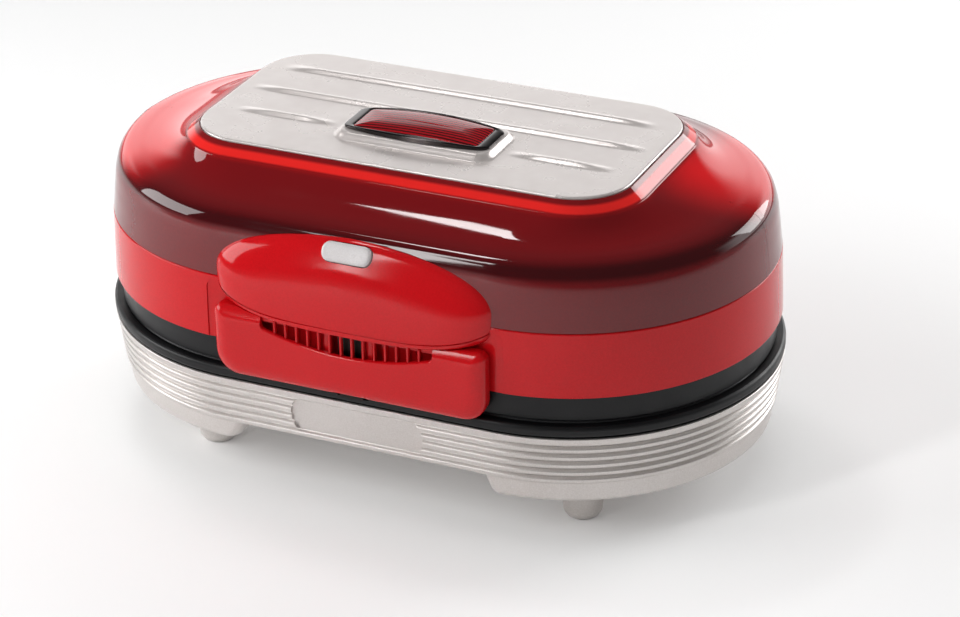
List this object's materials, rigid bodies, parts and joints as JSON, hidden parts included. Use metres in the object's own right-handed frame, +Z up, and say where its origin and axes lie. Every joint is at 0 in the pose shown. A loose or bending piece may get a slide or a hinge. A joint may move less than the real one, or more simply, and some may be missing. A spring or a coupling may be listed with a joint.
{
  "type": "electric burger grill",
  "caption": "Oval countertop contact grill for burgers: ribbed silver base on four feet, two round wells, hinged glossy red lid with a push-button latch handle at the front.",
  "frame": {"origin": "centre of the bounding box in plan, on the surface that the feet stand on", "axes": "+X along the length to the right seen from the front, -Y towards the front with the handle, +Z up"},
  "size_m": [0.3404, 0.2224, 0.1682],
  "materials": {
    "silver_plastic": "light silver moulded plastic, satin",
    "black_plastic": "black moulded plastic, matte",
    "red_gloss": "glossy opaque red plastic",
    "dark_red_gloss": "glossy translucent dark red plastic",
    "top_metal": "satin silver plate",
    "badge_rim": "dark chrome",
    "badge_red": "clear domed red",
    "cast_plate": "cast aluminium with dark non-stick coating",
    "steel": "bright steel",
    "rubber": "dark rubber",
    "ceramic": "off-white ceramic",
    "grey_button": "light grey satin plastic"
  },
  "bodies": {
    "base": {"base_shell": "silver_plastic", "foot_front_right": "silver_plastic", "foot_rear_right": "silver_plastic", "foot_rear_left": "silver_plastic", "foot_front_left": "silver_plastic", "foot_pad_front_right": "rubber", "foot_pad_rear_right": "rubber", "foot_pad_rear_left": "rubber", "foot_pad_front_left": "rubber", "base_collar": "black_plastic", "lower_plate": "cast_plate", "lower_element": "steel", "lower_reflector": "steel", "thermostat": "ceramic", "thermal_fuse": "steel", "terminal_block": "ceramic", "cord_gland": "black_plastic", "base_screw_front_right": "steel", "base_screw_rear_right": "steel", "base_screw_rear_left": "steel", "base_screw_front_left": "steel", "hinge_pin_left": "steel", "hinge_pin_right": "steel", "latch_keeper": "steel"},
    "lid": {"lid_inner_shell": "black_plastic", "lid_band": "red_gloss", "lid_dome": "dark_red_gloss", "lid_liner": "black_plastic", "top_plate": "top_metal", "badge_frame": "badge_rim", "badge_plate": "badge_red", "upper_plate": "cast_plate", "upper_element": "steel", "upper_reflector": "steel", "handle_body": "red_gloss", "handle_cap": "red_gloss", "handle_screw_left": "steel", "handle_screw_right": "steel", "latch_pivot_pin": "steel", "latch_spring": "steel"},
    "release_button": {"release_button": "grey_button"},
    "latch_lever": {"latch_lever": "steel"}
  },
  "joints": [
    {"name": "lid_hinge", "type": "hinge", "parent": "base", "child": "lid", "pos_m": [0, 0.10622, 0.067], "axis": [-1, 0, 0], "range_deg": [0, 100]},
    {"name": "button_press", "type": "slide", "parent": "lid", "child": "release_button", "axis": [0, 0.848, -0.5299], "range_m": [0, 0.002], "stiffness_N_per_m": 600, "springref_m": -0.002},
    {"name": "latch_pivot", "type": "hinge", "parent": "lid", "child": "latch_lever", "pos_m": [0, -0.10398, 0.097], "axis": [-1, 0, 0], "range_deg": [0, 3.29]}
  ],
  "couplings": [
    {"joint": "latch_pivot", "follows": "button_press", "rad_per_m": 28.7}
  ]
}
